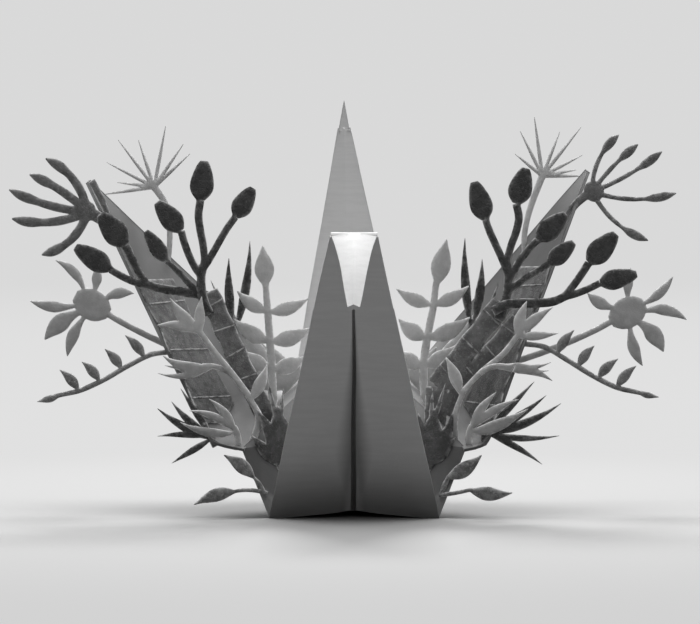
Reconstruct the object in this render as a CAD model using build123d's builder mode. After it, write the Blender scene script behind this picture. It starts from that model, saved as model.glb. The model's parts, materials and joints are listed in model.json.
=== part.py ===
from build123d import *
import math
import os

import numpy

os.makedirs("parts", exist_ok=True)

# A crane folded from one square sheet, seen from its head: X to the right, Y towards the tail, Z up.
# It is folded about the middle of its open base, and written about the point of the table under the
# middle of the whole. Lengths are millimetres, angles degrees.

# The sheet
sheet_side = 150.0
paper = 0.25
point_angle = 11.25  # half the point of a narrowed leg: an eighth of a right angle
wing_angle = 22.5  # half the point of a wing
fold_gap = 0.2  # half the space inside a doubled edge, above and below its middle

# The neck, the head and the tail
neck_lean = 25.0
beak_length = 20.0
beak_drop = 38.5
beak_end = 1.6  # width of the rounded beak end
crest_sides = 10
tail_lean = 2.0
tail_side_lean = 1.5
outer_spread = 12.0  # how far the outer layer of a leg falls back from flat
flap_spread = 6.0  # the same for the two flaps inside it
slit_at_base = 1.5
slit_at_top = 0.35
tip_trim = 5.0  # the last stretch of the tail, where all layers close up

# The body
base_length = 30.0
base_arch = 1.2
hinge_height = 18.9
hinge_half_width = 14.8
hinge_reach = 20.0  # paper between the base and the hinge of a wing
hump_height = 31.0
valley_depth = 5.0  # the creases in front of and behind the hump
valley_height = 15.0

# The wings
wing_pitch = 19.9
wing_toe = 15.8
left_wing_rise = 53.7
right_wing_rise = 60.0
left_shelf = 5.3
right_shelf = 3.5
shelf_rise = 10.0
bend_radius = 4.0
seam = 0.4
tip_blunt = 0.5

# The cut card plants
card = 0.3
glue = 0.02
joint_line = 0.4  # a raised line across a jointed stalk
joint_relief = 0.12
hub_length = 7.2  # the oval middle of a star flower
hub_width = 5.7
culm_width = 14.0  # the broad stalks glued flat on the wings
culm_joint_gap = 8.6
culm_overhang = 0.6  # how far the broad stalks pass the front edge of a wing

# Worked out from the folds of the sheet
point_slope = math.tan(math.radians(point_angle))
wing_slope = math.tan(math.radians(wing_angle))
leg_length = sheet_side / 2
base_half_width = leg_length * point_slope
widest_from_point = sheet_side * wing_slope / (point_slope + wing_slope)
widest_half = widest_from_point * point_slope
wing_length = sheet_side - widest_from_point
hinge_half_chord = (leg_length + hinge_reach) * point_slope
wall = 2 * paper


def strip_outline(path, thickness, end_thickness=None):
    """Outline of a strip seen on its edge: half its thickness on either side of the path."""
    last = thickness if end_thickness is None else end_thickness
    left = []
    right = []
    for index, point in enumerate(path):
        half = (thickness + (last - thickness) * index / (len(path) - 1)) / 2
        before = path[index] - path[index - 1] if index > 0 else path[1] - path[0]
        after = path[index + 1] - path[index] if index < len(path) - 1 else before
        normal_before = Vector(-before.Y, before.X).normalized()
        normal_after = Vector(-after.Y, after.X).normalized()
        mitre = (normal_before + normal_after) / (1 + normal_before.dot(normal_after))
        left.append(point + mitre * half)
        right.append(point - mitre * half)
    return [(p.X, p.Y) for p in left + right[::-1]]


def leg_path(half_width, slit, facing):
    """A leg cut across: a wide V with its two narrowed flaps folded in, open towards facing."""
    flap_rise = (half_width - slit / 2) * math.tan(math.radians(flap_spread))
    spine_rise = half_width * math.tan(math.radians(outer_spread))
    half = [
        Vector(slit / 2, flap_rise - fold_gap),
        Vector(half_width, -fold_gap),
        Vector(half_width, fold_gap),
    ]
    right_side = [Vector(p.X, facing * p.Y) for p in half]
    spine = Vector(0, facing * (spine_rise + fold_gap))
    left_side = [Vector(-p.X, p.Y) for p in reversed(right_side)]
    return right_side + [spine] + left_side


def leg_section(plane, half_width, slit, facing):
    """Sketch of a leg's section on the given plane."""
    with BuildSketch(plane) as section:
        Polygon(*strip_outline(leg_path(half_width, slit, facing), paper), align=None)
    return section.sketch


def across(origin, direction):
    """Plane across a leg, with X to the viewer's right."""
    return Plane(origin=origin, x_dir=(1, 0, 0), z_dir=direction)


# The neck: from under the base to the fold of the head, leaning towards the viewer
lean = math.radians(neck_lean)
neck_direction = Vector(0, -math.sin(lean), math.cos(lean))
neck_base = Vector(0, -base_length / 2, 0)
neck_run = leg_length - beak_length
neck_start = -2.0
head_half_width = beak_length * point_slope
head_fold = neck_base + neck_direction * neck_run
with BuildPart() as neck:
    lower = leg_section(
        across(neck_base + neck_direction * neck_start, neck_direction),
        (leg_length - neck_start) * point_slope,
        slit_at_base,
        1,
    )
    upper = leg_section(across(head_fold, neck_direction), head_half_width, slit_at_top, 1)
    loft(sections=[lower, upper], ruled=True)

# The head: folded forwards over the fold line, and pinched to a ridge along its top
drop = math.radians(beak_drop)
beak_direction = Vector(0, -math.cos(drop), -math.sin(drop))
beak_layers = 2 * paper + 2 * fold_gap
crest_radius = beak_layers * 0.75
beak_stations = [
    (0.0, head_half_width, 0.3),
    (0.28, head_half_width * 0.66, 0.9),
    (0.62, head_half_width * 0.42, 1.0),
    (0.97, beak_end / 2, 0.45),
]
with BuildPart() as head:
    for share, half_width, ridge in beak_stations:
        with BuildSketch(across(head_fold + beak_direction * beak_length * share, beak_direction)):
            ridge_path = [Vector(-half_width, 0), Vector(0, ridge), Vector(half_width, 0)]
            Polygon(*strip_outline(ridge_path, beak_layers), align=None)
    loft()
    with BuildSketch(Plane(origin=head_fold - Vector(head_half_width, 0, 0), z_dir=(1, 0, 0))):
        RegularPolygon(crest_radius, crest_sides)
    extrude(amount=2 * head_half_width)

# The tail: a leg like the neck, its spine towards the viewer
tail_direction = Vector(
    -math.sin(math.radians(tail_side_lean)),
    math.sin(math.radians(tail_lean)),
    math.cos(math.radians(tail_lean)),
).normalized()
tail_base = Vector(0, base_length / 2, 0)
tail_run = leg_length - tip_trim
trim_half_width = tip_trim * point_slope
with BuildPart() as tail:
    lower = leg_section(
        across(tail_base + tail_direction * neck_start, tail_direction),
        (leg_length - neck_start) * point_slope,
        slit_at_base,
        -1,
    )
    upper = leg_section(
        across(tail_base + tail_direction * tail_run, tail_direction),
        trim_half_width,
        slit_at_top,
        -1,
    )
    loft(sections=[lower, upper], ruled=True)
    tip_plane = Plane(
        origin=tail_base + tail_direction * tail_run,
        x_dir=(1, 0, 0),
        z_dir=Vector(1, 0, 0).cross(tail_direction),
    )
    with BuildSketch(tip_plane):
        Polygon((-trim_half_width, -0.5), (trim_half_width, -0.5), (0, tip_trim), align=None)
    extrude(amount=paper + fold_gap, both=True)


def ruling(side):
    """Direction of a wing's chord, from its front edge to its rear edge."""
    pitch = math.radians(wing_pitch)
    toe = math.radians(wing_toe)
    return Vector(-side * math.cos(pitch) * math.sin(toe), math.cos(pitch) * math.cos(toe), math.sin(pitch))


def hinge(side):
    """Middle of the crease between the body and a wing."""
    return Vector(side * hinge_half_width, 0, hinge_height)


# The body: a faceted shell, open below, with a hump between the wings
half_length = base_length / 2
valley_front = -half_length + valley_depth
corners = {}
for side, name in ((-1, "left"), (1, "right")):
    corners["base front " + name] = Vector(side * base_half_width, -half_length, 0)
    corners["base rear " + name] = Vector(side * base_half_width, half_length, 0)
    corners["hinge front " + name] = hinge(side) - ruling(side) * hinge_half_chord
    corners["hinge rear " + name] = hinge(side) + ruling(side) * hinge_half_chord
spine_set = base_half_width * math.tan(math.radians(outer_spread))
corners["crease front"] = Vector(0, -half_length + spine_set, base_arch)
corners["crease rear"] = Vector(0, half_length - spine_set, base_arch)
corners["valley front"] = Vector(0, valley_front, valley_height)
corners["valley rear"] = Vector(0, -valley_front, valley_height)
corners["hump"] = Vector(0, 0, hump_height)
corners["floor"] = Vector(0, 0, 0)

walls = []
floors = []
for name in ("left", "right"):
    walls += [
        ("base front " + name, "base rear " + name, "hinge rear " + name),
        ("base front " + name, "hinge rear " + name, "hinge front " + name),
        ("hinge front " + name, "hinge rear " + name, "hump"),
        ("hinge front " + name, "hump", "valley front"),
        ("hinge rear " + name, "hump", "valley rear"),
        ("base front " + name, "hinge front " + name, "valley front"),
        ("base rear " + name, "hinge rear " + name, "valley rear"),
        ("base front " + name, "valley front", "crease front"),
        ("base rear " + name, "valley rear", "crease rear"),
    ]
    floors += [
        ("base front " + name, "base rear " + name, "floor"),
        ("base front " + name, "crease front", "floor"),
        ("base rear " + name, "crease rear", "floor"),
    ]


def faceted_solid(points):
    """Closed solid of the body's facets between the given corners."""
    faces = [Face(Wire.make_polygon([points[name] for name in facet])) for facet in walls + floors]
    return Solid(Shell(faces))


def inner_corners(thickness, below):
    """The corners moved in from every wall by the thickness, and down past the open base."""
    centre = Vector(0, 0, hump_height / 4)
    moved = {}
    for name, corner in corners.items():
        normals = []
        shifts = []
        for facet in walls + floors:
            if name in facet:
                a, b, c = (corners[other] for other in facet)
                normal = (b - a).cross(c - a).normalized()
                if normal.dot(a - centre) < 0:
                    normal = -normal
                normals.append([normal.X, normal.Y, normal.Z])
                shifts.append(-thickness if facet in walls else below)
        shift = numpy.linalg.lstsq(numpy.array(normals), numpy.array(shifts), rcond=None)[0]
        moved[name] = corner + Vector(*[float(value) for value in shift])
    return moved


with BuildPart() as body:
    add(faceted_solid(corners))
    add(faceted_solid(inner_corners(wall, wall)), mode=Mode.SUBTRACT)


def wing_frame(side):
    """Directions of a wing's profile: outwards and upwards, both square to its chord."""
    chord = ruling(side)
    outwards = Vector(side, 0, 0)
    outwards = (outwards - chord * outwards.dot(chord)).normalized()
    upwards = (chord.cross(outwards) * -side).normalized()
    return outwards, upwards


def wing_rise(side):
    return right_wing_rise if side > 0 else left_wing_rise


def wing_shelf(side):
    return right_shelf if side > 0 else left_shelf


def wing_axis(side):
    """Direction of a wing from its widest chord to its tip."""
    outwards, upwards = wing_frame(side)
    rise = math.radians(wing_rise(side))
    return outwards * math.cos(rise) + upwards * math.sin(rise)


def wing_middle(side):
    """Middle of a wing's widest chord."""
    outwards, upwards = wing_frame(side)
    rise = math.radians(shelf_rise)
    shelf = wing_shelf(side)
    return hinge(side) + outwards * shelf * math.cos(rise) + upwards * shelf * math.sin(rise)


def make_wing(side):
    """A doubled sheet that leaves the body almost level, bends up and narrows to its tip."""
    chord = ruling(side)
    outwards, upwards = wing_frame(side)
    profile_plane = Plane(origin=hinge(side), x_dir=outwards, z_dir=chord * -side)
    rise = math.radians(wing_rise(side))
    low = math.radians(shelf_rise)
    shelf = wing_shelf(side)
    turn = (shelf * math.cos(low), shelf * math.sin(low))
    end = (turn[0] + wing_length * math.cos(rise), turn[1] + wing_length * math.sin(rise))
    start = (-wall * math.cos(low), -wall * math.sin(low))
    reach = widest_half + 5
    with BuildPart() as wing:
        for layer_side, slit in ((Side.LEFT, False), (Side.RIGHT, True)):
            with BuildSketch(profile_plane) as profile:
                with BuildLine():
                    FilletPolyline(start, turn, end, radius=bend_radius)
                    offset(amount=paper, side=layer_side)
                make_face()
            extrude(amount=reach, both=True)
            if slit:
                extrude(profile.sketch, amount=seam / 2, both=True, mode=Mode.SUBTRACT)
        outline_plane = Plane(
            origin=wing_middle(side), x_dir=wing_axis(side), z_dir=wing_axis(side).cross(chord)
        )
        root = -shelf - 3
        root_half = widest_half + root * point_slope
        with BuildSketch(outline_plane):
            Polygon(
                (root, -root_half),
                (0, -widest_half),
                (wing_length, -tip_blunt),
                (wing_length, tip_blunt),
                (0, widest_half),
                (root, root_half),
                align=None,
            )
        extrude(amount=sheet_side / 4, both=True, mode=Mode.INTERSECT)
    return wing.part


wing_left = make_wing(-1)
wing_right = make_wing(1)

# The whole folded sheet is one piece. Its base is cut level, and arched under the neck and the tail.
arch_half_width = base_half_width - 2 * wall
with BuildPart() as crane:
    add(body.part)
    add(neck.part)
    add(head.part)
    add(tail.part)
    add(wing_left)
    add(wing_right)
    with BuildSketch(Plane.XZ):
        Polygon(
            (-base_half_width, 0),
            (-arch_half_width, 0),
            (0, base_arch),
            (arch_half_width, 0),
            (base_half_width, 0),
            (2 * base_half_width, 0),
            (2 * base_half_width, -base_length),
            (-2 * base_half_width, -base_length),
            (-2 * base_half_width, 0),
            align=None,
        )
    extrude(amount=base_length, both=True, mode=Mode.SUBTRACT)

crane.part.label = "crane"


def wing_point(side, along, across_wing):
    """A point in a wing's sheet, from the middle of its widest chord."""
    return wing_middle(side) + wing_axis(side) * along + ruling(side) * across_wing


def hump_point(side, share_up, across_wing):
    """A point on the hump: from a point of the wing's hinge, part of the way to its top."""
    low = hinge(side) + ruling(side) * across_wing
    return low + (corners["hump"] - low) * share_up


def shelf_point(side, out, across_wing):
    """A point on the level root of a wing."""
    outwards, upwards = wing_frame(side)
    rise = math.radians(shelf_rise)
    low = hinge(side) + ruling(side) * across_wing
    return low + outwards * out * math.cos(rise) + upwards * out * math.sin(rise)


def upright(side, root, turn=0.0, forward=0.0):
    """Upright plane at a plant's root: outwards and up, its outer end turned towards the viewer."""
    angle = math.radians(turn)
    outwards = Vector(side * math.cos(angle), -math.sin(angle), 0)
    facing = Vector(outwards.Y, -outwards.X, 0)
    return Plane(origin=root - Vector(0, forward, 0), x_dir=outwards, z_dir=facing)


def side_name(side):
    return "right" if side > 0 else "left"


def front_panel(side):
    """Plane of a card glued on the body's front panel beside the neck, from the base corner."""
    base = corners["base front " + side_name(side)]
    top = corners["hinge front " + side_name(side)]
    normal = (top - base).cross(corners["valley front"] - base).normalized()
    if normal.Y > 0:
        normal = -normal
    outwards = Vector(0, 0, 1).cross(normal).normalized()
    if outwards.X * side < 0:
        outwards = -outwards
    return Plane(origin=base + normal * (card / 2 + glue), x_dir=outwards, z_dir=normal * side)


def wing_face(side):
    """Plane of a card glued flat on the upper face of a wing: towards its tip, and across it."""
    axis = wing_axis(side)
    facing = (ruling(side).cross(axis) * -side).normalized()
    return Plane(origin=wing_middle(side) + facing * (paper + card / 2 + glue), x_dir=axis, z_dir=facing)


def polar(origin, angle, distance):
    return (
        origin[0] + distance * math.cos(math.radians(angle)),
        origin[1] + distance * math.sin(math.radians(angle)),
    )


def smooth(points, steps):
    """Points evenly along the smooth curve through the given ones."""
    with BuildLine() as path:
        if len(points) > 2:
            Spline(*points)
        else:
            Line(*points)
    curve = path.edges()[0]
    return [curve @ (index / steps) for index in range(steps + 1)]


def stalk(points, width, end_width=None, steps=5):
    """A cut stalk along a smooth line, tapering to its end width."""
    path = smooth(points, steps if len(points) > 2 else 1)
    Polygon(*strip_outline(path, width, end_width), align=None)


def blade(points, widths):
    """A shape along a smooth line, as wide as the list says from its start to its end."""
    last = len(widths) - 1
    path = smooth(points, last)
    left = []
    right = []
    for index, point in enumerate(path):
        ahead = path[min(index + 1, last)] - path[max(index - 1, 0)]
        sideways = Vector(-ahead.Y, ahead.X).normalized() * (widths[index] / 2)
        left.append(point + sideways)
        right.append(point - sideways)
    Polygon(*[(p.X, p.Y) for p in left + right[::-1]], align=None)


# How wide each kind of blade is along its length, as shares of its full width
leaf_form = (0.16, 0.6, 0.95, 0.98, 0.74, 0.38, 0.05)
petal_form = (0.42, 0.38, 0.64, 0.98, 0.92, 0.55, 0.06)
hub_form = (0.36, 0.76, 0.96, 1.0, 0.96, 0.76, 0.36)
bud_form = (0.34, 0.76, 0.98, 1.0, 0.92, 0.78, 0.6, 0.32)
finger_form = (1.0, 0.88, 0.84, 0.88, 0.82, 0.78, 1.0, 0.84, 0.14)
twig_finger_form = (0.8, 0.56, 0.5, 0.54, 0.5, 0.46, 0.96, 0.9, 0.1)
needle_form = (1.0, 0.82, 0.14)


def bent(start, end, bend):
    """Start, end and a middle moved to the left by a share of the length."""
    lengthways = (end[0] - start[0], end[1] - start[1])
    centre = (start[0] + lengthways[0] / 2, start[1] + lengthways[1] / 2)
    return [start, (centre[0] - lengthways[1] * bend, centre[1] + lengthways[0] * bend), end]


def leaf(base, tip, width, bend=0.0, form=leaf_form):
    blade(bent(base, tip, bend), [width * share for share in form])


def cut_card(name, side, plane, draw, *details, seats=(), relief=None):
    """One plant cut from card, and trimmed to its seat on the crane and on other cards."""
    with BuildPart() as plant:
        with BuildSketch(plane):
            draw(*details)
        extrude(amount=card / 2, both=True)
        if relief:
            shown = -1 if plane.z_dir.Y > 0.5 else 1  # the side that faces the viewer
            with BuildSketch(plane.offset(shown * card / 2)):
                relief(*details)
            extrude(amount=shown * joint_relief)
        add(crane.part, mode=Mode.SUBTRACT)
        for seat in seats:
            add(seat, mode=Mode.SUBTRACT)
    piece = plant.part.solids().sort_by(SortBy.VOLUME)[-1]
    piece.label = name + "_" + side_name(side)
    return piece


def draw_palm(stem, stem_width, hub, fingers, finger_width, form, shoots=()):
    """A spread hand of curved fingers that swell to a bud at each end."""
    stalk(stem + [hub], stem_width, stem_width * 1.5)
    leaf(polar(hub, 200, 1.4), polar(hub, 20, 2.0), 3.8, 0, hub_form)
    for angle, length, bend in fingers:
        leaf(hub, polar(hub, angle, length), finger_width, bend, form)
    for shoot in shoots:
        stalk(shoot, 0.9, 1.3)


def draw_fan(stem, hub, needles):
    """Fine needles spreading from the top of a stem."""
    stalk(stem + [hub], 0.9, 1.3)
    for angle, length in needles:
        leaf(polar(hub, angle, -0.5), polar(hub, angle, length), 0.75, 0, needle_form)


def draw_flower(stem, hub, hub_angle, petals):
    """Long petals of different widths round an oval middle."""
    stalk(stem + [hub], 1.3, 1.1)
    half = hub_length / 2
    leaf(polar(hub, hub_angle + 180, half), polar(hub, hub_angle, half), hub_width, 0, hub_form)
    for angle, length, bend, width in petals:
        leaf(polar(hub, angle, hub_width * 0.3), polar(hub, angle, length), width, bend, petal_form)


def draw_buds(stem, twigs):
    """A forked stem with a bud at the end of each twig."""
    stalk(stem, 1.8, 1.5)
    for twig, tip, width in twigs:
        stalk(twig, 1.3, width * bud_form[0])
        leaf(twig[-1], tip, width, 0, bud_form)


def draw_tuft(stem, blades, stem_width=1.4):
    """Narrow leaves from a common stem, each from its base to its tip."""
    stalk(stem, stem_width, stem_width * 0.8)
    for base, tip, width, *bend in blades:
        leaf(base, tip, width, *bend)


def draw_pairs(stem, tip, tip_width, pairs):
    """An upright stem with a leaf at its end and pairs of leaves below it."""
    stalk(stem, 1.7, 1.2)
    leaf((stem[-1][0], stem[-1][1] - 0.8), tip, tip_width)
    for base, outer_tip, inner_tip, width in pairs:
        leaf(base, outer_tip, width, -0.07)
        leaf(base, inner_tip, width, 0.07)


def joints(points, gap):
    """How many joints fit on the last run of a jointed stalk, and the way between them."""
    run = Vector(*points[-1]) - Vector(*points[-2])
    count = max(1, round(run.length / gap))
    return count, run / count


def draw_culms(culms, gap):
    """Jointed stalks, a little wider at each joint."""
    for points, width in culms:
        count, step = joints(points, gap)
        if len(points) > 2:
            stalk(points[:-1], width * 0.94)
        blade(points[-2:], [width * 0.95] + [width, width * 0.9] * count)


def draw_rings(culms, gap):
    """A line across each joint of the jointed stalks."""
    for points, width in culms:
        count, step = joints(points, gap)
        sideways = Vector(-step.Y, step.X).normalized() * (width * 0.47)
        for index in range(count):
            ring = Vector(*points[-2]) + step * (index + 0.5)
            stalk([ring - sideways, ring + sideways], joint_line)


# The broad stalks lie flat on the wings, along their front edges
left_side, right_side = -1, 1
culm_inset = culm_width / 2 / math.cos(math.radians(wing_angle)) - culm_overhang


def front_line(side, along):
    """A point on the middle of the broad stalk: towards the wing's tip, and across the wing."""
    return (along, side * (culm_inset - widest_half * (1 - along / wing_length)))


plants = []
for side, foot, top in ((left_side, 1.0, 27.5), (right_side, 1.0, 29.0)):
    run = [front_line(side, foot), front_line(side, top)]
    plane = wing_face(side)
    culm = cut_card(
        "wing_stalk", side, plane, draw_culms, [(run, culm_width)], culm_joint_gap, relief=draw_rings,
    )
    plants.append(culm)
wing_stalks = list(plants)
plants_below = {left_side: [wing_stalks[0]], right_side: [wing_stalks[1]]}


def add_plant(name, side, plane, draw, *details, relief=None):
    """Cut a plant that stands on the crane and on the broad stalk of its side."""
    plants.append(cut_card(name, side, plane, draw, *details, seats=plants_below[side], relief=relief))


# The plants on each wing, from its tip down. Places are outwards and up from each plant's root.
add_plant(
    "palm_spray", left_side, upright(left_side, wing_point(left_side, 37.5, -4.2), 8), draw_palm,
    [(-0.8, -1.2), (1.4, 2.6)], 1.5, (5.1, 5.0),
    [(52, 12.1, 0.13), (33, 12.3, 0.05), (16, 14.5, -0.05), (-5, 13.5, -0.09), (-43, 11.2, -0.14)],
    1.85, finger_form, [[(1.3, 4.0), (2.6, 7.2), (4.4, 10.6)]],
)
add_plant(
    "palm_spray", right_side, upright(right_side, wing_point(right_side, 39.0, -3.5), 8), draw_palm,
    [(-0.8, -1.2), (1.3, 3.2)], 1.1, (4.5, 5.7),
    [(65, 11.2, 0.12), (46, 11.7, 0.04), (30, 14.3, -0.04), (-1, 14.9, -0.08), (-41, 13.2, -0.1)],
    1.6, twig_finger_form,
)

add_plant(
    "needle_fan", left_side, upright(left_side, wing_point(left_side, 28.0, 7.0), -10), draw_fan,
    [(-0.2, -1.2), (-0.6, 5.3), (1.0, 11.9)], (2.3, 13.5),
    [(-8, 10.3), (7, 7.0), (27, 10.0), (52, 11.0), (71, 9.1), (101, 11.3), (125, 9.5), (138, 9.0)],
)
add_plant(
    "needle_fan", right_side, upright(right_side, wing_point(right_side, 30.0, 6.0), -10), draw_fan,
    [(-0.2, -1.2), (0.0, 4.0), (2.2, 11.0)], (3.1, 13.2),
    [(0, 8.2), (10, 6.5), (27, 8.4), (51, 11.5), (68, 8.7), (98, 10.8), (117, 9.1), (142, 6.6)],
)

add_plant(
    "star_flower", left_side, upright(left_side, wing_point(left_side, 4.0, 4.0), -8), draw_flower,
    [(-0.3, -0.2), (15.0, 5.9), (23.5, 10.2)], (27.2, 12.4), 28,
    [
        (3, 11.6, -0.08, 2.1), (50, 10.6, 0.14, 1.8), (97, 7.4, 0.06, 1.9),
        (165, 8.2, -0.12, 2.1), (-36, 11.0, 0.08, 3.3), (-64, 10.6, 0.08, 2.2),
    ],
)
add_plant(
    "star_flower", right_side, upright(right_side, wing_point(right_side, 4.0, 4.0), -8), draw_flower,
    [(-0.3, -0.2), (11.0, 2.5), (21.4, 6.2)], (31.5, 11.2), 28,
    [
        (-7, 11.2, 0.14, 2.1), (38, 10.8, -0.1, 1.8), (86, 8.2, 0.05, 1.9),
        (154, 8.4, 0.1, 2.3), (-47, 9.9, 0.1, 3.2), (-74, 10.2, -0.08, 2.2),
    ],
)

add_plant(
    "long_blades", left_side, upright(left_side, wing_point(left_side, 0.0, 0.0)), draw_tuft,
    [(0.0, -1.0), (1.0, 7.0), (1.9, 14.0)],
    [
        ((1.8, 12.0), (-1.0, 28.7), 1.7, 0.04),
        ((2.0, 13.0), (2.8, 25.6), 1.7, -0.03),
        ((1.0, 7.0), (6.1, 21.6), 1.3, 0.02),
    ],
)
add_plant(
    "long_blades", right_side, upright(right_side, wing_point(right_side, 0.0, 0.0)), draw_tuft,
    [(0.0, -1.0), (1.8, 7.0), (3.4, 15.0)],
    [
        ((3.2, 13.0), (2.0, 29.7), 1.7, 0.03),
        ((3.4, 14.0), (5.1, 25.9), 1.7, -0.04),
        ((1.8, 7.0), (8.0, 21.5), 1.5, -0.03),
    ],
)

add_plant(
    "paired_leaves", left_side, upright(left_side, hump_point(left_side, 0.14, -8.5)), draw_pairs,
    [(0.0, -1.2), (0.2, 9.7), (0.8, 18.0), (1.2, 23.3)], (1.7, 30.0), 3.5,
    [
        ((0.8, 18.1), (6.3, 21.9), (-6.5, 20.6), 2.5),
        ((0.4, 12.8), (6.9, 16.9), (-6.9, 15.3), 3.0),
        ((0.2, 7.8), (5.6, 11.4), (-6.0, 10.2), 3.0),
    ],
)
add_plant(
    "paired_leaves", right_side, upright(right_side, hump_point(right_side, 0.14, -8.5)), draw_pairs,
    [(0.0, -1.2), (-2.1, 9.7), (-1.3, 14.5), (0.2, 23.6)], (2.0, 31.2), 3.5,
    [
        ((-0.5, 19.4), (6.0, 22.8), (-7.1, 22.4), 2.5),
        ((-1.5, 13.4), (6.2, 17.2), (-6.6, 16.9), 3.1),
        ((-2.1, 8.4), (3.8, 12.2), (-7.4, 11.4), 3.0),
    ],
)

for side in (left_side, right_side):
    add_plant(
        "root_leaves", side, upright(side, hump_point(side, 0.14, 3.0)), draw_tuft,
        [(0.0, -1.0), (0.6, 1.6)],
        [
            ((0.5, 0.8), (10.2, 14.8), 5.6, -0.1),
            ((0.5, 0.6), (8.4, 8.8), 4.2, -0.14),
            ((0.2, 0.6), (3.0, 8.2), 3.2, 0.08),
            ((0.0, 0.2), (-2.8, 6.9), 3.0, -0.06),
        ],
    )

add_plant(
    "pale_sprig", left_side, upright(left_side, hump_point(left_side, 0.094, -hinge_half_chord)), draw_tuft,
    [(0.0, -0.8), (-1.0, 3.9), (0.9, 7.6), (5.0, 13.0), (9.5, 18.9)],
    [
        ((9.0, 18.2), (14.6, 24.7), 2.3, -0.05),
        ((9.2, 18.4), (9.0, 25.0), 1.9, -0.04),
        ((9.0, 18.5), (16.9, 19.9), 1.8, 0.08),
        ((0.5, 6.6), (-2.5, 13.0), 2.2, 0.05),
    ],
    1.3,
)
add_plant(
    "pale_sprig", right_side, upright(right_side, hump_point(right_side, 0.094, -hinge_half_chord)), draw_tuft,
    [(0.0, -0.8), (0.2, 4.5), (1.6, 8.3), (6.0, 12.7), (11.4, 18.5)],
    [
        ((10.9, 17.9), (12.7, 24.2), 2.1, 0.04),
        ((10.9, 17.9), (17.3, 23.1), 2.0, 0.04),
        ((10.6, 18.0), (18.3, 18.5), 1.6, -0.03),
        ((1.0, 7.6), (-1.6, 14.3), 2.2, -0.04),
    ],
    1.2,
)

add_plant(
    "vine", left_side, upright(left_side, wing_point(left_side, 16.0, -12.5), 12), draw_tuft,
    [(-0.8, 0.6), (3.0, 0.2), (8.9, -2.6), (15.0, -5.8), (19.0, -7.0), (21.0, -7.3)],
    [
        ((4.9, -0.6), (8.4, 3.4), 1.8, 0.06),
        ((9.0, -2.6), (12.0, 1.0), 1.8, 0.06),
        ((12.9, -4.7), (16.1, -1.2), 1.8, 0.06),
        ((16.6, -6.3), (20.0, -2.6), 1.8, 0.06),
        ((20.0, -7.3), (24.0, -8.2), 1.3),
    ],
    1.0,
)
add_plant(
    "vine", right_side, upright(right_side, wing_point(right_side, 17.5, -12.3), 12), draw_tuft,
    [(-0.8, 0.4), (2.4, 0.2), (9.0, -3.2), (14.6, -6.4), (18.4, -7.9), (21.6, -8.4)],
    [
        ((6.2, -1.6), (9.3, 2.7), 1.8, 0.06),
        ((10.0, -3.8), (12.9, 0.0), 1.8, 0.06),
        ((13.5, -5.8), (17.1, -2.3), 1.8, 0.06),
        ((16.8, -7.4), (20.3, -3.5), 1.8, 0.06),
        ((20.6, -8.3), (24.3, -9.0), 1.2),
    ],
    1.0,
)

culm_seat = 0.24
culm_layer = card + glue
add_plant(
    "jointed_stalk", left_side, upright(left_side, hump_point(left_side, culm_seat, -hinge_half_chord)),
    draw_culms, [([(-0.6, -1.5), (3.1, 5.8), (10.9, 23.0)], 4.0)], 5.0, relief=draw_rings,
)
add_plant(
    "jointed_stalk", right_side, upright(right_side, hump_point(right_side, culm_seat, -hinge_half_chord)),
    draw_culms,
    [([(-0.6, -1.5), (-0.2, 6.2), (11.4, 21.0)], 4.2), ([(1.0, 1.5), (4.2, 6.8), (14.2, 18.2)], 2.9)],
    5.5, relief=draw_rings,
)

add_plant(
    "tall_buds", left_side,
    upright(left_side, hump_point(left_side, culm_seat, -hinge_half_chord), 0, culm_layer), draw_buds,
    [(10.6, 19.0), (11.9, 22.6), (11.8, 27.8)],
    [
        ([(11.8, 26.4), (11.6, 30.5), (12.4, 35.0), (12.2, 39.2)], (11.5, 46.2), 4.2),
        ([(12.2, 26.4), (9.6, 30.6), (8.0, 33.4), (6.0, 36.3)], (2.9, 41.4), 3.7),
        ([(11.9, 25.4), (14.0, 29.0), (15.0, 31.6), (15.6, 33.8)], (19.9, 38.9), 3.9),
    ],
)
add_plant(
    "tall_buds", right_side,
    upright(right_side, hump_point(right_side, culm_seat, -hinge_half_chord), 0, culm_layer), draw_buds,
    [(10.6, 18.0), (12.0, 21.6), (12.2, 27.6)],
    [
        ([(12.2, 26.2), (10.6, 30.4), (9.4, 33.0), (8.4, 35.8)], (6.3, 42.5), 4.0),
        ([(12.3, 26.4), (12.8, 31.0), (14.0, 34.5), (13.8, 38.6)], (15.5, 44.9), 4.2),
        ([(12.4, 24.6), (14.2, 28.2), (16.0, 30.6), (17.6, 32.2)], (22.6, 36.8), 3.9),
        ([(12.0, 22.8), (15.4, 25.4), (17.6, 26.8), (19.6, 28.0)], (24.0, 31.8), 3.3),
    ],
)
add_plant(
    "low_buds", left_side,
    upright(left_side, hump_point(left_side, culm_seat, -hinge_half_chord), 0, -culm_layer), draw_buds,
    [(9.6, 21.9), (13.0, 22.7), (18.0, 23.4), (22.0, 24.4)],
    [
        ([(21.4, 24.1), (23.2, 26.6), (24.4, 29.0), (25.5, 31.3)], (30.0, 36.8), 4.4),
        ([(21.4, 24.2), (24.0, 24.8), (26.2, 25.8), (28.2, 27.0)], (34.4, 31.0), 3.9),
        ([(12.6, 22.7), (14.6, 24.9), (16.4, 26.8), (18.3, 28.5)], (21.9, 33.8), 2.9),
    ],
)
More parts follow.
